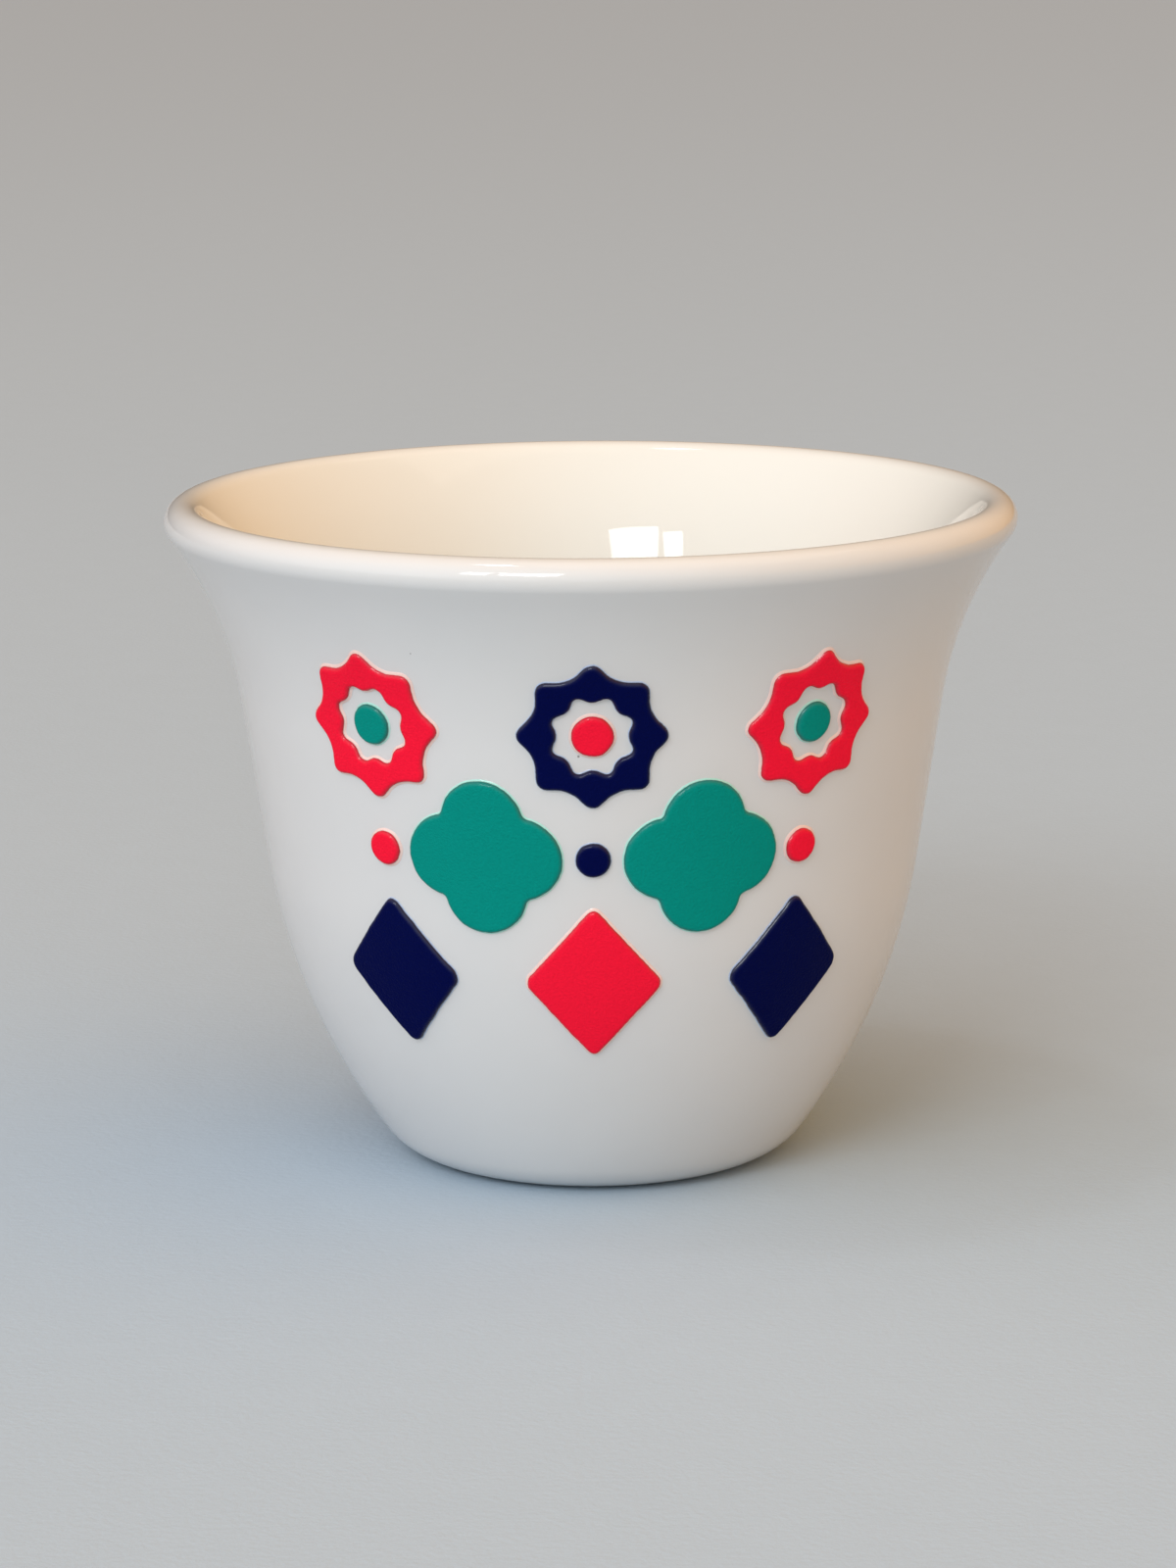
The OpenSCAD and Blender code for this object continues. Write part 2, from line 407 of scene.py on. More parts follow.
def trace_cup(bm, cup, wall):
    """The whole outline, from the middle of the recess round to the middle of the floor"""
    quarter = math.pi / 2
    inner_foot = wall.flare_foot + wall.inward * cup.wall
    inner_top = wall.belly_top + wall.inward * cup.wall
    flare_turn = wall.lip_turn - wall.lean
    outline = Outline(bm, 0.0, cup.recess_height)
    trace_foot(outline, cup, wall)
    outline.arc(wall.corner, quarter - wall.corner_turn)
    outline.arc(wall.belly, wall.corner_turn - wall.lean)
    outline.line(*wall.flare_foot)
    outline.arc(wall.flare, -flare_turn)
    outline.arc(wall.lip, 2 * quarter)
    outline.arc(wall.flare, flare_turn)
    outline.tip.co = (inner_foot.x, 0.0, inner_foot.y)
    outline.line(*inner_top)
    outline.arc(wall.belly, wall.lean - wall.inner_turn)
    outline.arc(wall.inner, wall.inner_turn - quarter)
    outline.line(0.0, wall.floor_top)


def mark_inside(bm, cup, wall):
    """Each vertex holds how far it lies on the wall's inner side, from 0 to 1, for the painted warm light
    inside the cup
    """
    layer = bm.verts.layers.float.new("inside")
    for v in bm.verts:
        if v.co.z <= cup.recess_height + cup.floor / 2:
            continue
        across = math.hypot(v.co.x, v.co.y)
        in_wall = wall.radius_at(min(v.co.z, wall.lip.y)) - cup.wall / 2
        v[layer] = clamped(0.5 + (in_wall - across) / cup.wall)


def mark_bare_foot(bm, cup, wall):
    """Gives the underside of the foot ring the second material"""
    for f in bm.faces:
        place = f.calc_center_median()
        bare = place.z < cup.bare_height and math.hypot(place.x, place.y) > wall.foot_edge
        f.material_index = 1 if bare else 0


def to_smooth_mesh(bm, name, smooth_angle):
    """Turns a bmesh into a mesh, smooth but for edges that turn by more than an angle, and frees it"""
    mesh = bpy.data.meshes.new(name)
    bm.to_mesh(mesh)
    bm.free()
    mesh.shade_smooth()
    mesh.set_sharp_from_angle(angle=smooth_angle)
    return mesh


def add_piece(context, name, mesh, materials, node):
    """Puts a piece in the scene in place of its CAD node"""
    for material in materials:
        mesh.materials.append(material)
    piece = bpy.data.objects.new(name, mesh)
    context.scene.collection.objects.link(piece)
    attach(piece, "root")
    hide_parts(node)


def star_outline(bm, width, grow, rounding):
    """Eight-point star of two crossed squares, its sides moved out by grow and its corners rounded"""
    side_share = math.cos(2 * math.pi / STAR_POINTS)
    notch_share = side_share / math.cos(math.pi / STAR_POINTS)
    side_distance = width / 2 * side_share
    tip = width / 2 * (side_distance + grow) / side_distance
    made = bmesh.ops.create_circle(bm, cap_ends=False, segments=2 * STAR_POINTS, radius=tip)
    points = made["verts"]
    bmesh.ops.scale(bm, vec=(notch_share, notch_share, 1.0), verts=points[1::2])
    round_corners(bm, points, rounding)


def round_corners(bm, points, rounding):
    """Rounds an outline at some of its points"""
    bmesh.ops.bevel(
        bm,
        geom=points,
        offset=rounding,
        offset_type="OFFSET",
        affect="VERTICES",
        segments=CORNER_STEPS,
        profile=0.5,
        material=-1,
        clamp_overlap=True,
    )


def split_long_edges(bm, longest):
    """Halves the outline's long edges until none is longer than a length"""
    while True:
        edges = [e for e in bm.edges if e.calc_length() > longest]
        if not edges:
            return
        bmesh.ops.subdivide_edges(bm, edges=edges, cuts=1)


def fill_outline(bm):
    """One flat face over an outline, with points close enough together to carry its unevenness"""
    split_long_edges(bm, OUTLINE_STEP)
    bmesh.ops.edgeloop_fill(bm, edges=bm.edges[:])


def disc(bm, radius, steps):
    """One flat round face"""
    bmesh.ops.create_circle(bm, cap_ends=False, segments=steps, radius=radius)
    fill_outline(bm)


def part_of(made, kind):
    """The vertices, edges or faces among what an operator made"""
    return [x for x in made["geom"] if isinstance(x, kind)]


def inset_round(bm, faces, width, rise, start, end, steps):
    """Insets faces step by step, so that their border follows a quarter of an ellipse between two turns"""
    turns = [start + (end - start) * i / steps for i in range(steps + 1)]
    for a, b in zip(turns, turns[1:]):
        bmesh.ops.inset_region(
            bm,
            faces=faces,
            thickness=width * (math.cos(a) - math.cos(b)),
            depth=rise * (math.sin(b) - math.sin(a)),
            use_even_offset=True,
        )


def raise_enamel(bm, enamel, margin):
    """Raises flat faces into a closed body: a bead of clear flux, then colour with a rounded edge"""
    cover = bm.verts.layers.float.new("cover")
    side = bm.verts.layers.float.new("side")
    flat = bm.faces[:]
    bmesh.ops.translate(bm, verts=bm.verts[:], vec=(0, 0, -enamel.seat))
    made = bmesh.ops.extrude_face_region(bm, geom=flat)
    bmesh.ops.translate(
        bm, verts=part_of(made, bmesh.types.BMVert), vec=(0, 0, enamel.seat + enamel.margin_lift)
    )
    top = part_of(made, bmesh.types.BMFace)
    bmesh.ops.recalc_face_normals(bm, faces=bm.faces[:])

    quarter = math.pi / 2
    start = quarter - enamel.margin_foot
    end = quarter - enamel.margin_crest
    radius = margin / (math.cos(start) - math.cos(end))
    inset_round(bm, top, radius, radius, start, end, BEAD_STEPS)
    margin_top = enamel.margin_lift + radius * (math.sin(end) - math.sin(start))
    rise = enamel.thickness - margin_top
    inset_round(bm, top, enamel.edge_width, rise, 0.0, quarter, EDGE_STEPS)

    foot_rise = rise * math.sin(quarter / EDGE_STEPS)
    # The side mask darkens the colour towards the foot of the rounded edge as painted shade; it also sets
    # the edge's roughness, gloss and grain
    for v in bm.verts:
        v[cover] = clamped((v.co.z - margin_top) / foot_rise)
        v[side] = clamped((enamel.thickness - v.co.z) / (rise - foot_rise))


def cut_to_grid(bm, spacing):
    """Cuts the flat faces into small ones, so that they can follow the wall"""
    reach = max(max(abs(v.co.x), abs(v.co.y)) for v in bm.verts)
    cuts = math.floor(reach / spacing)
    for normal in (Vector((1, 0, 0)), Vector((0, 1, 0))):
        for i in range(-cuts, cuts + 1):
            faces = [f for f in bm.faces if abs(f.normal.z) > FLAT]
            edges = {e for f in faces for e in f.edges}
            verts = {v for f in faces for v in f.verts}
            bmesh.ops.bisect_plane(
                bm,
                geom=[*verts, *edges, *faces],
                dist=MERGE,
                plane_co=normal * (i + 0.5) * spacing,
                plane_no=normal,
            )
    bmesh.ops.triangulate(bm, faces=[f for f in bm.faces if len(f.verts) > 4])


def drift(v, size, depth):
    """Smooth noise at a vertex, as a vector, with features of about a size, at a depth in the noise"""
    return noise.noise_vector(Vector((v.co.x / size, v.co.y / size, depth)))


def roughen(bm, enamel, start):
    """Small wandering of the edges and ripples in the top, from a start in the noise"""
    noise.seed_set(NOISE_SEED)
    for v in bm.verts:
        wander = drift(v, enamel.ragged_size, start) * enamel.ragged
        wander += drift(v, enamel.nibbled_size, start + NIBBLE_STEP) * enamel.nibbled
        ripple = drift(v, enamel.ripple_size, start + RIPPLE_STEP).z
        lifted = max(v.co.z, 0.0) / enamel.thickness
        v.co.x += wander.x
        v.co.y += wander.y
        v.co.z -= (1 + ripple) / 2 * enamel.ripple * lifted


def wrap_on_wall(bm, wall, row, turn):
    """Lays a flat ornament on the wall: x is across, y is up and z is the height above the glaze"""
    for v in bm.verts:
        across, up, rise = v.co
        height = row + up
        radius = wall.radius_at(height)
        lean = wall.lean_at(height)
        depth = math.sqrt(radius**2 - across**2)
        out = Vector((across, -depth, -radius * math.tan(lean))).normalized()
        v.co = Vector((across, -depth, height)) + out * rise
    bmesh.ops.rotate(bm, verts=bm.verts[:], cent=(0, 0, 0), matrix=Matrix.Rotation(turn, 3, "Z"))


def new_node(tree, kind, place, **settings):
    """A node with its settings, laid out in columns and rows"""
    node = tree.nodes.new(kind)
    column, row = place
    node.location = (column * NODE_SPACING, -row * NODE_SPACING)
    for name, value in settings.items():
        setattr(node, name, value)
    return node


def feed(tree, socket, value):
    """Gives a socket a value, or a link where the value is a socket too"""
    if isinstance(value, bpy.types.NodeSocket):
        tree.links.new(value, socket)
    else:
        socket.default_value = value


def calculate(tree, place, operation, *values):
    """Socket of one step of arithmetic on sockets or numbers"""
    node = new_node(tree, "ShaderNodeMath", place, operation=operation)
    for socket, value in zip(node.inputs, values):
        feed(tree, socket, value)
    return node.outputs[0]


def mix_colours(tree, place, factor, first, second, blend="MIX"):
    """Socket of a mix of two colours, each a socket or a value"""
    mix = new_node(tree, "ShaderNodeMix", place, data_type="RGBA", blend_type=blend)
    tree.links.new(factor, mix.inputs["Factor"])
    feed(tree, mix.inputs[MIX_FIRST], first)
    feed(tree, mix.inputs[MIX_SECOND], second)
    return mix.outputs[MIX_RESULT]


def scaled_coordinates(tree, size):
    """Object coordinates counted in lengths of a size socket"""
    where = new_node(tree, "ShaderNodeTexCoord", (-4, 0))
    scale = calculate(tree, (-4, 2), "DIVIDE", 1.0, size)
    vector = new_node(tree, "ShaderNodeVectorMath", (-3, 0), operation="SCALE")
    tree.links.new(where.outputs["Object"], vector.inputs[0])
    tree.links.new(scale, vector.inputs["Scale"])
    return vector.outputs[0]


def pattern_node(tree, kind, size):
    """A noise or cell texture with features of about a size"""
    pattern = new_node(tree, kind, (-2, 0))
    pattern.inputs["Scale"].default_value = 1.0
    tree.links.new(scaled_coordinates(tree, size), pattern.inputs["Vector"])
    return pattern


def new_group(name, inputs, outputs):
    """An empty node group. Returns it with the sockets that it is given and those that it fills."""
    group = bpy.data.node_groups.new(name, "ShaderNodeTree")
    for direction, sockets in (("INPUT", inputs), ("OUTPUT", outputs)):
        for socket, kind in sockets.items():
            group.interface.new_socket(name=socket, in_out=direction, socket_type=kind)
    given = new_node(group, "NodeGroupInput", (-5, 0))
    result = new_node(group, "NodeGroupOutput", (0, 0))
    return group, given.outputs, result.inputs


def clouds_group():
    """Soft drifts between two colours"""
    inputs = {"Colour": COLOUR_SOCKET, "Cloud colour": COLOUR_SOCKET, "Size": NUMBER_SOCKET}
    group, given, result = new_group("Clouds", inputs, {"Colour": COLOUR_SOCKET})
    pattern = pattern_node(group, "ShaderNodeTexNoise", given["Size"])
    pattern.inputs["Detail"].default_value = CLOUD_DETAIL
    mixed = mix_colours(group, (-1, 0), pattern.outputs["Fac"], given["Colour"], given["Cloud colour"])
    group.links.new(mixed, result["Colour"])
    return group


def grain_group():
    """Height of an uneven surface in metres, from its grain size and depth"""
    inputs = {"Size": NUMBER_SOCKET, "Depth": NUMBER_SOCKET, "Detail": NUMBER_SOCKET}
    group, given, result = new_group("Grain", inputs, {"Height": NUMBER_SOCKET})
    pattern = pattern_node(group, "ShaderNodeTexNoise", given["Size"])
    group.links.new(given["Detail"], pattern.inputs["Detail"])
    height = calculate(group, (-1, 0), "MULTIPLY", pattern.outputs["Fac"], given["Depth"])
    group.links.new(height, result["Height"])
    return group


def specks_group():
    """Mask of a few tiny round specks"""
    inputs = {"Spacing": NUMBER_SOCKET, "Radius": NUMBER_SOCKET}
    group, given, result = new_group("Specks", inputs, {"Mask": NUMBER_SOCKET})
    cells = pattern_node(group, "ShaderNodeTexVoronoi", given["Spacing"])
    distance = calculate(group, (-1, 0), "MULTIPLY", cells.outputs["Distance"], given["Spacing"])
    inside = calculate(group, (-1, 1), "LESS_THAN", distance, given["Radius"])
    group.links.new(inside, result["Mask"])
    return group


GROUP_BUILDERS = {"Clouds": clouds_group, "Grain": grain_group, "Specks": specks_group}


def place_group(tree, name, place, **values):
    """A node group in a material, built when first needed, with the material's own values"""
    node = new_node(tree, "ShaderNodeGroup", place)
    node.node_tree = bpy.data.node_groups.get(name) or GROUP_BUILDERS[name]()
    for socket, value in values.items():
        node.inputs[socket.replace("_", " ").capitalize()].default_value = value
    return node


def opaque(rgb):
    """A colour with full alpha"""
    return (*rgb, 1.0)


def clouds_between(tree, base, cloud, size):
    """Socket of soft drifts between two colours"""
    group = place_group(
        tree, "Clouds", (-5, 0), colour=opaque(base), cloud_colour=opaque(cloud), size=size
    )
    return group.outputs["Colour"]


def grain_height(tree, place, size, depth, detail=SMOOTH_DETAIL):
    """Socket of an uneven surface's height"""
    return place_group(tree, "Grain", place, size=size, depth=depth, detail=detail).outputs["Height"]


def vertex_mask(tree, place, name):
    """Socket of a value that the mesh holds at each vertex"""
    return new_node(tree, "ShaderNodeAttribute", place, attribute_name=name).outputs["Fac"]


def vary(tree, place, mask, socket, low, high):
    """Feeds a socket one value where a mask is 0 and another where it is 1"""
    blend = new_node(tree, "ShaderNodeMapRange", place)
    blend.inputs["To Min"].default_value = low
    blend.inputs["To Max"].default_value = high
    tree.links.new(mask, blend.inputs["Value"])
    tree.links.new(blend.outputs["Result"], socket)


def bump_from(tree, shader, heights):
    """Feeds a sum of heights in metres to the shader's normal"""
    total = heights[0]
    for row, height in enumerate(heights[1:], 3):
        total = calculate(tree, (-2, row), "ADD", total, height)
    bump = new_node(tree, "ShaderNodeBump", (-1, 3))
    bump.inputs["Strength"].default_value = 1.0
    bump.inputs["Distance"].default_value = 1.0
    tree.links.new(total, bump.inputs["Height"])
    tree.links.new(bump.outputs["Normal"], shader.inputs["Normal"])


def new_material(name):
    """An empty material with its surface shader. Returns the material, its tree and the shader."""
    material = bpy.data.materials.new(name)
    material.use_nodes = True
    tree = material.node_tree
    tree.nodes.clear()
    shader = new_node(tree, "ShaderNodeBsdfPrincipled", (0, 0))
    output = new_node(tree, "ShaderNodeOutputMaterial", (1, 0))
    tree.links.new(shader.outputs["BSDF"], output.inputs["Surface"])
    return material, tree, shader


def glaze_material(finish):
    """Clear glossy glaze over white porcelain, a little wavy, with a few specks, painted warmer and paler
    on the inside for the light that bounces within the cup
    """
    material, tree, shader = new_material("glaze")
    clouds = clouds_between(tree, finish.glaze, finish.glaze_cloud, finish.cloud_size)
    inside = vertex_mask(tree, (-5, 1), "inside")
    specks = place_group(
        tree, "Specks", (-5, 2), spacing=finish.speck_spacing, radius=finish.speck_radius
    )
    # Painted light: the inside of the wall is tinted warmer and paler for the light that bounces within
    # the cup
    with_painted_warmth = mix_colours(tree, (-3, 0), inside, clouds, opaque(finish.inside_painted_warmth))
    speckled = mix_colours(tree, (-2, 0), specks.outputs["Mask"], with_painted_warmth, opaque(finish.speck))
    tree.links.new(speckled, shader.inputs["Base Color"])
    wave = grain_height(tree, (-5, 3), finish.wave_size, finish.wave_depth)
    peel = grain_height(tree, (-5, 4), finish.peel_size, finish.peel_depth)
    bump_from(tree, shader, [wave, peel])
    shader.inputs["Roughness"].default_value = finish.glaze_roughness
    shader.inputs["IOR"].default_value = finish.body_ior
    return material


def biscuit_material(finish):
    """Bare fired clay of the foot ring"""
    material, tree, shader = new_material("bare_clay")
    clouds = clouds_between(tree, finish.biscuit, finish.biscuit_dark, finish.biscuit_size)
    tree.links.new(clouds, shader.inputs["Base Color"])
    grain = grain_height(tree, (-5, 3), finish.biscuit_grain, finish.biscuit_depth, CLAY_DETAIL)
    bump_from(tree, shader, [grain])
    shader.inputs["Roughness"].default_value = finish.biscuit_roughness
    return material


def enamel_material(tone, finish):
    """Thick satin enamel with a fine grain, which runs out into a pale and glossy margin of flux; its
    colour is darkened towards the foot of the rounded edge as painted shade
    """
    name = f"satin_{tone}"
    found = bpy.data.materials.get(name)
    if found:
        return found
    material, tree, shader = new_material(name)
    full = getattr(finish, tone)
    margin = getattr(finish, f"{tone}_margin")
    mottled = [c * finish.mottle for c in full]
    # Painted shade: the colour that the rounded edge darkens to at its foot
    painted_shade_colour = [c * finish.edge_painted_shade for c in full]
    clouds = clouds_between(tree, full, mottled, finish.mottle_size)
    cover = vertex_mask(tree, (-5, 1), "cover")
    side = vertex_mask(tree, (-5, 2), "side")
    shaded = mix_colours(tree, (-3, 0), side, clouds, opaque(painted_shade_colour))
    covered = mix_colours(tree, (-2, 0), cover, opaque(margin), shaded)
    tree.links.new(covered, shader.inputs["Base Color"])
    pools = grain_height(tree, (-5, 3), finish.pool_size, finish.pool_depth)
    grain = place_group(tree, "Grain", (-5, 4), size=finish.grain_size, detail=SMOOTH_DETAIL)
    bump_from(tree, shader, [pools, grain.outputs["Height"]])
    vary(tree, (-6, 4), side, grain.inputs["Depth"], finish.grain_depth, finish.edge_grain)
    vary(tree, (-1, 1), side, shader.inputs["Roughness"], finish.enamel_roughness, finish.edge_roughness)
    vary(tree, (-1, 2), side, shader.inputs["Coat Weight"], 0.0, finish.edge_gloss)
    shader.inputs["IOR"].default_value = finish.body_ior
    shader.inputs["Specular IOR Level"].default_value = finish.enamel_sheen
    shader.inputs["Coat Roughness"].default_value = finish.edge_roughness
    shader.inputs["Coat IOR"].default_value = finish.gloss_ior
    return material


class CUP_OT_body(bpy.types.Operator):
    """Turn the porcelain body from its outline"""

    bl_idname = "cup.body"
    bl_label = "Cup body"
    bl_options = {"REGISTER", "UNDO"}

    def execute(self, context):
        cup = context.scene.cup_shape
        finish = context.scene.cup_finish
        wall = Wall(cup)
        bm = bmesh.new()
        trace_cup(bm, cup, wall)
        bmesh.ops.spin(
            bm,
            geom=bm.verts[:] + bm.edges[:],
            cent=(0, 0, 0),
            axis=(0, 0, 1),
            angle=2 * math.pi,
            steps=TURN_STEPS,
            use_merge=True,
        )
        bmesh.ops.remove_doubles(bm, verts=bm.verts[:], dist=MERGE)
        bmesh.ops.recalc_face_normals(bm, faces=bm.faces[:])
        mark_inside(bm, cup, wall)
        mark_bare_foot(bm, cup, wall)
        mesh = to_smooth_mesh(bm, "porcelain_cup", CUP_SHARP)
        materials = [glaze_material(finish), biscuit_material(finish)]
        add_piece(context, "porcelain_cup", mesh, materials, "cup_body")
        return {"FINISHED"}


class EnamelRow:
    """What the enamel operators share: an outline, the places in a row and the colour at each"""

    bl_options = {"REGISTER", "UNDO"}
    kind = ""
    places = COLUMNS
    colours = {}

    def outline(self, bm, enamel, margin):
        """Draws the flat outline and its faces, wider than the colour by a margin"""
        raise NotImplementedError

    def blank(self, enamel, tone):
        """The ornament in one colour, still flat and even"""
        margin = getattr(enamel, f"{tone}_margin")
        bm = bmesh.new()
        self.outline(bm, enamel, margin)
        raise_enamel(bm, enamel, margin)
        cut_to_grid(bm, FACE_STEP)
        return bm

    def lay(self, context, wall, blank, tone, node, turn):
        """Lays a copy of a blank on the wall, in place of its CAD node"""
        name = f"enamel_{node}"
        bm = blank.copy()
        roughen(bm, context.scene.cup_enamel, BEARING_STEP * turn + len(self.kind))
        wrap_on_wall(bm, wall, middle(node, 2), turn)
        bmesh.ops.recalc_face_normals(bm, faces=bm.faces[:])
        mesh = to_smooth_mesh(bm, name, ENAMEL_SHARP)
        material = enamel_material(tone, context.scene.cup_finish)
        add_piece(context, name, mesh, [material], node)

    def execute(self, context):
        enamel = context.scene.cup_enamel
        wall = Wall(context.scene.cup_shape)
        mid_radius = wall.radius_at(middle("front_dot_middle", 2))
        column_turn = (enamel.quatrefoil_width + enamel.dot_width + 2 * enamel.gap) / mid_radius
        blanks = {tone: self.blank(enamel, tone) for tone in sorted(set(self.colours.values()))}
        for side, side_turn in SIDES.items():
            for place, place_share in self.places.items():
                tone = self.colours[place]
                node = f"{side}_{self.kind}_{place}"
                turn = side_turn + place_share * column_turn
                self.lay(context, wall, blanks[tone], tone, node, turn)
        for blank in blanks.values():
            blank.free()
        return {"FINISHED"}


class CUP_OT_stars(EnamelRow, bpy.types.Operator):
    """Lay the open stars of the upper row on the wall"""

    bl_idname = "cup.stars"
    bl_label = "Stars"
    kind = "star"
    colours = {"left": "red", "middle": "navy", "right": "red"}
    hollow_round_share = 0.5
    shortest_side = 0.4 * MM
    side_cuts = 7

    def outline(self, bm, enamel, margin):
        hollow_width = enamel.star_width - 2 * math.sqrt(2) * enamel.star_line
        star_outline(bm, enamel.star_width, margin, enamel.corner_round)
        star_outline(bm, hollow_width, -margin, enamel.corner_round * self.hollow_round_share)
        bmesh.ops.bridge_loops(bm, edges=bm.edges[:])
        sides = [e for e in bm.edges if e.is_boundary and e.calc_length() > self.shortest_side]
        bmesh.ops.subdivide_edges(bm, edges=sides, cuts=self.side_cuts)


class CUP_OT_star_centres(EnamelRow, bpy.types.Operator):
    """Lay a round centre within each star"""

    bl_idname = "cup.star_centres"
    bl_label = "Star centres"
    kind = "star_centre"
    colours = {"left": "green", "middle": "red", "right": "green"}
    steps = 40

    def outline(self, bm, enamel, margin):
        disc(bm, enamel.centre_width / 2 + margin, self.steps)


class CUP_OT_quatrefoils(EnamelRow, bpy.types.Operator):
    """Lay the quatrefoils of the middle row on the wall"""

    bl_idname = "cup.quatrefoils"
    bl_label = "Quatrefoils"
    kind = "quatrefoil"
    places = BETWEEN
    colours = {"left": "green", "right": "green"}
    lobes = 4
    lobe_steps = 30
    notch_round_share = 1 / 3

    def outline(self, bm, enamel, margin):
        radius = enamel.quatrefoil_width * enamel.lobe_share
        centre = enamel.quatrefoil_width / 2 - radius
        radius += margin
        # Two lobes meet where x and y are alike
        meeting = (centre + math.sqrt(2 * radius**2 - centre**2)) / 2
        reach = math.atan2(meeting, meeting - centre)
        start = bm.verts.new((meeting, -meeting, 0.0))
        bmesh.ops.spin(
            bm, geom=[start], cent=(centre, 0, 0), axis=(0, 0, 1), angle=2 * reach, steps=self.lobe_steps
        )
        bmesh.ops.spin(
            bm,
            geom=bm.verts[:] + bm.edges[:],
            cent=(0, 0, 0),
            axis=(0, 0, 1),
            angle=2 * math.pi,
            steps=self.lobes,
            use_duplicate=True,
        )
        bmesh.ops.remove_doubles(bm, verts=bm.verts[:], dist=MERGE)
        notches = [v for v in bm.verts if abs(abs(v.co.x) - abs(v.co.y)) < MERGE]
        round_corners(bm, notches, enamel.corner_round * self.notch_round_share)
        fill_outline(bm)


class CUP_OT_dots(EnamelRow, bpy.types.Operator):
    """Lay the dots of the middle row on the wall"""

    bl_idname = "cup.dots"
    bl_label = "Dots"
    kind = "dot"
    colours = {"left": "red", "middle": "navy", "right": "red"}
    steps = 36

    def outline(self, bm, enamel, margin):
        disc(bm, enamel.dot_width / 2 + margin, self.steps)


class CUP_OT_lozenges(EnamelRow, bpy.types.Operator):
    """Lay the lozenges of the lower row on the wall"""

    bl_idname = "cup.lozenges"
    bl_label = "Lozenges"
    kind = "lozenge"
    colours = {"left": "navy", "middle": "red", "right": "navy"}

    def outline(self, bm, enamel, margin):
        half_width = enamel.lozenge_width / 2
        half_height = enamel.lozenge_height / 2
        side_distance = half_width * half_height / math.hypot(half_width, half_height)
        grown = (side_distance + margin) / side_distance
        made = bmesh.ops.create_circle(bm, cap_ends=False, segments=4, radius=grown)
        points = made["verts"]
        bmesh.ops.scale(bm, vec=(half_width, half_height, 1.0), verts=points)
        round_corners(bm, points, enamel.corner_round)
        fill_outline(bm)


def direction_to(bearing, elevation):
    """Direction to a lamp or a glow, from its angles in degrees"""
    across = math.radians(bearing)
    above = math.radians(elevation)
    return Vector((
        math.sin(across) * math.cos(above),
        -math.cos(across) * math.cos(above),
        math.sin(above),
    ))


def add_area_lamp(context, name, watts, tone):
    """A rectangular lamp that faces the cup"""
    bearing, elevation, distance, width, height = LAMPS[name]
    target = Vector((0.0, 0.0, context.scene.cup_shape.height / 2))
    back = direction_to(bearing, elevation)
    data = bpy.data.lights.new(name, "AREA")
    data.shape = "RECTANGLE"
    data.size = width
    data.size_y = height
    data.energy = watts
    data.color = tone
    lamp = bpy.data.objects.new(name, data)
    lamp.matrix_world = Matrix.Translation(target + back * distance) @ (
        back.to_track_quat("Z", "Y").to_matrix().to_4x4()
    )
    context.scene.collection.objects.link(lamp)


def floor_material(setup):
    """Pale matt paper"""
    material, tree, shader = new_material("floor")
    clouds = clouds_between(tree, setup.floor, setup.floor_cloud, setup.floor_cloud_size)
    tree.links.new(clouds, shader.inputs["Base Color"])
    grain = grain_height(tree, (-5, 3), setup.floor_grain, setup.floor_depth, PAPER_DETAIL)
    bump_from(tree, shader, [grain])
    shader.inputs["Roughness"].default_value = setup.floor_roughness
    return material


def surround_world(setup):
    """Dim room light with a soft glow from each of three sides"""
    world = bpy.data.worlds.new("surround")
    world.use_nodes = True
    tree = world.node_tree
    where = new_node(tree, "ShaderNodeTexCoord", (-6, 0))
    light = opaque(setup.room)
    for row, (side, (bearing, elevation)) in enumerate(GLOWS.items()):
        towards = new_node(tree, "ShaderNodeVectorMath", (-5, row), operation="DOT_PRODUCT")
        towards.inputs[1].default_value = direction_to(bearing, elevation)
        fade = new_node(tree, "ShaderNodeMapRange", (-4, row), interpolation_type="SMOOTHSTEP")
        tree.links.new(where.outputs["Generated"], towards.inputs[0])
        tree.links.new(towards.outputs["Value"], fade.inputs["Value"])
        tone = opaque(getattr(setup, side))
        light = mix_colours(tree, (row - 3, row), fade.outputs["Result"], light, tone, "ADD")
    background = tree.nodes["Background"]
    background.inputs["Strength"].default_value = setup.glow
    tree.links.new(light, background.inputs["Color"])
    return world


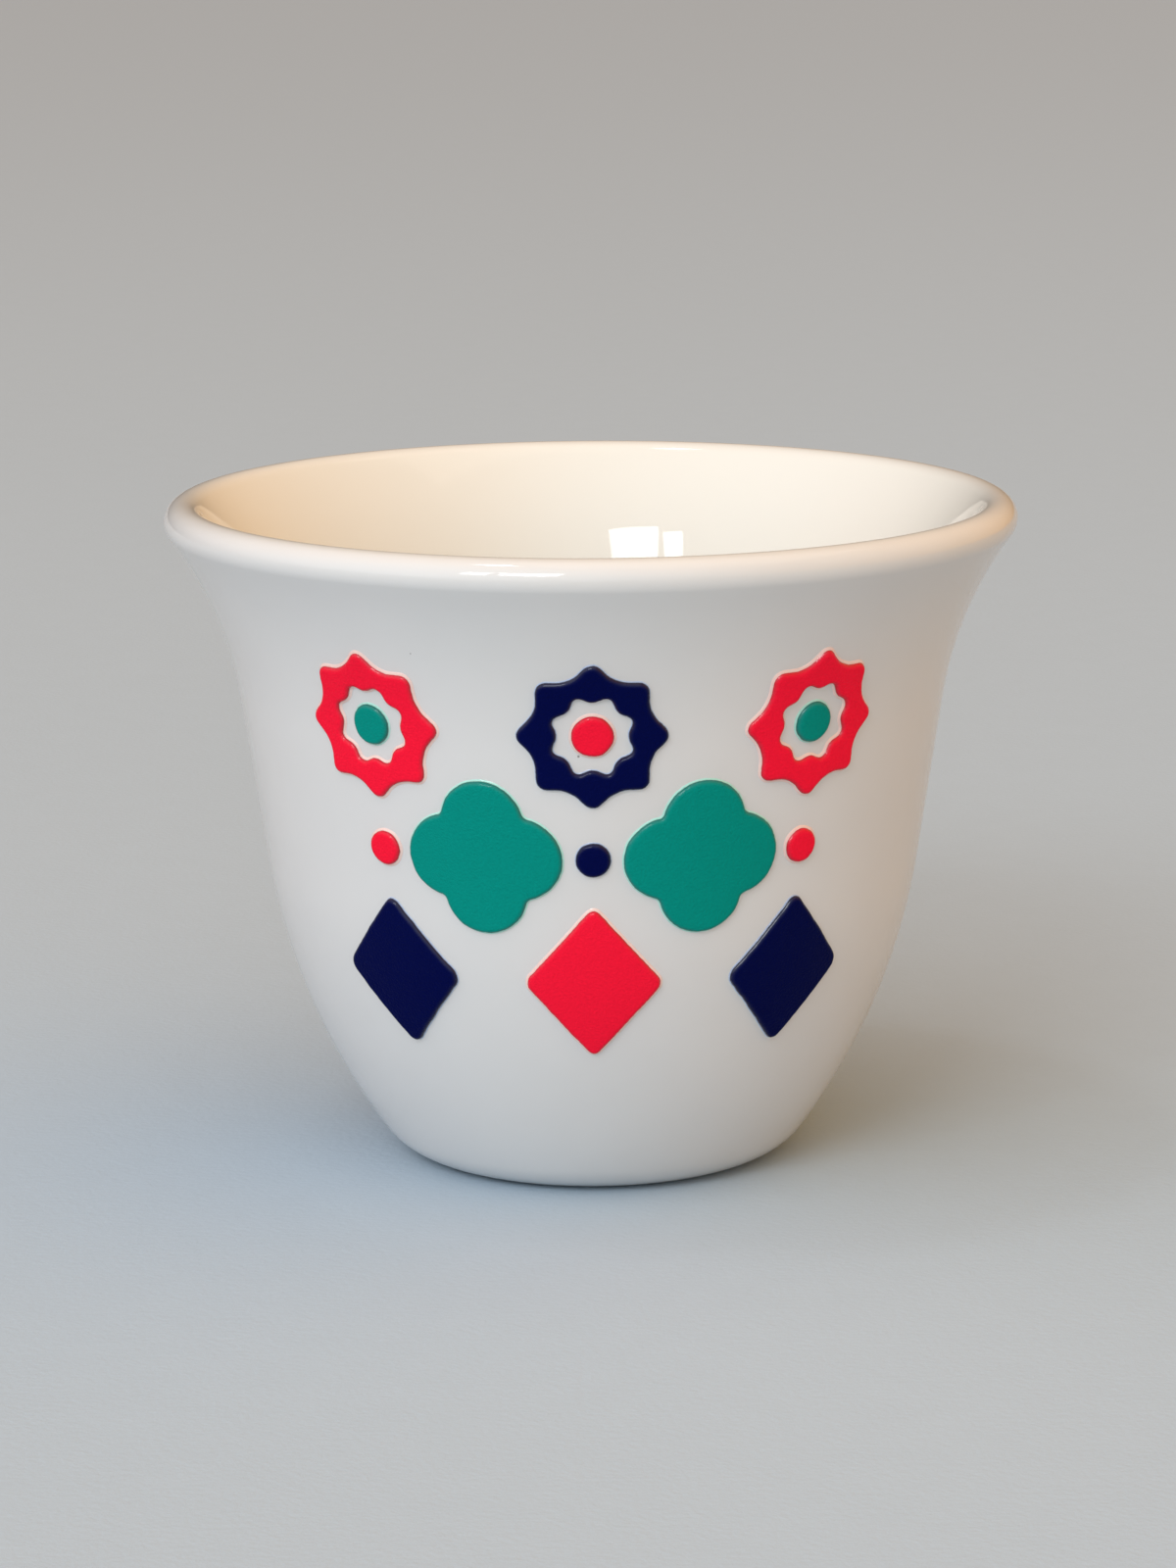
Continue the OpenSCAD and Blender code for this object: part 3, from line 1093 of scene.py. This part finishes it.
class CUP_OT_stage(bpy.types.Operator):
    """Set out the floor, the lamps and the camera"""

    bl_idname = "cup.stage"
    bl_label = "Stage"
    bl_options = {"REGISTER", "UNDO"}

    def execute(self, context):
        setup = context.scene.cup_stage
        self.add_floor(context, setup)
        self.add_lamps(context, setup)
        self.add_camera(context, setup)
        context.scene.view_settings.view_transform = "Standard"
        return {"FINISHED"}

    def add_floor(self, context, setup):
        """A wide sheet of paper under the cup"""
        bm = bmesh.new()
        bmesh.ops.create_grid(bm, x_segments=1, y_segments=1, size=setup.floor_reach)
        mesh = bpy.data.meshes.new("floor")
        bm.to_mesh(mesh)
        bm.free()
        mesh.materials.append(floor_material(setup))
        floor = bpy.data.objects.new("floor", mesh)
        context.scene.collection.objects.link(floor)

    def add_lamps(self, context, setup):
        """The window's two panes, a skylight, a warm lamp overhead and the glow all round"""
        for name in LAMPS:
            tone = setup.lamplight if name == "overhead" else setup.daylight
            add_area_lamp(context, name, getattr(setup, f"{name}_power"), tone)
        context.scene.world = surround_world(setup)

    def add_camera(self, context, setup):
        """The camera, which looks down at the cup from the front"""
        data = bpy.data.cameras.new("camera")
        data.sensor_width = FRAME_WIDTH
        data.lens = setup.camera_lens
        data.clip_start = NEAREST
        data.clip_end = FARTHEST
        camera = bpy.data.objects.new("camera", data)
        place = Matrix.Translation((setup.camera_side, -setup.camera_distance, setup.camera_height))
        pitch = Matrix.Rotation(math.pi / 2 - setup.camera_pitch, 4, "X")
        roll = Matrix.Rotation(setup.camera_roll, 4, "Z")
        camera.matrix_world = place @ pitch @ roll
        context.scene.collection.objects.link(camera)
        context.scene.camera = camera


class CUP_PT_sidebar(bpy.types.Panel):
    """Sizes, colours and steps of the coffee cup"""

    bl_label = "Coffee cup"
    bl_idname = "CUP_PT_sidebar"
    bl_space_type = "VIEW_3D"
    bl_region_type = "UI"
    bl_category = "Coffee cup"

    def draw(self, context):
        for group_name, operators in PANEL_ROWS.items():
            box = self.layout.box()
            group = getattr(context.scene, group_name)
            for name in group.__annotations__:
                box.prop(group, name)
            for operator in operators:
                box.operator(operator.bl_idname)


ENAMEL_OPERATORS = (CUP_OT_stars, CUP_OT_star_centres, CUP_OT_quatrefoils, CUP_OT_dots, CUP_OT_lozenges)
PROPERTY_GROUPS = {
    "cup_shape": CupShape,
    "cup_enamel": EnamelShape,
    "cup_finish": CupFinish,
    "cup_stage": StageSetup,
}
PANEL_ROWS = {
    "cup_shape": (CUP_OT_body,),
    "cup_enamel": ENAMEL_OPERATORS,
    "cup_finish": (),
    "cup_stage": (CUP_OT_stage,),
}
CLASSES = (*PROPERTY_GROUPS.values(), CUP_OT_body, *ENAMEL_OPERATORS, CUP_OT_stage, CUP_PT_sidebar)


def register():
    """Makes the cup's operators, sizes and panel known"""
    for cls in CLASSES:
        bpy.utils.register_class(cls)
    for name, group in PROPERTY_GROUPS.items():
        setattr(bpy.types.Scene, name, PointerProperty(type=group))


def unregister():
    """Takes them away again"""
    for name in PROPERTY_GROUPS:
        delattr(bpy.types.Scene, name)
    for cls in reversed(CLASSES):
        bpy.utils.unregister_class(cls)


def main():
    """Builds the cup and its stage"""
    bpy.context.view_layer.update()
    register()
    bpy.ops.cup.body()
    bpy.ops.cup.stars()
    bpy.ops.cup.star_centres()
    bpy.ops.cup.quatrefoils()
    bpy.ops.cup.dots()
    bpy.ops.cup.lozenges()
    bpy.ops.cup.stage()


if __name__ == "__main__":
    main()
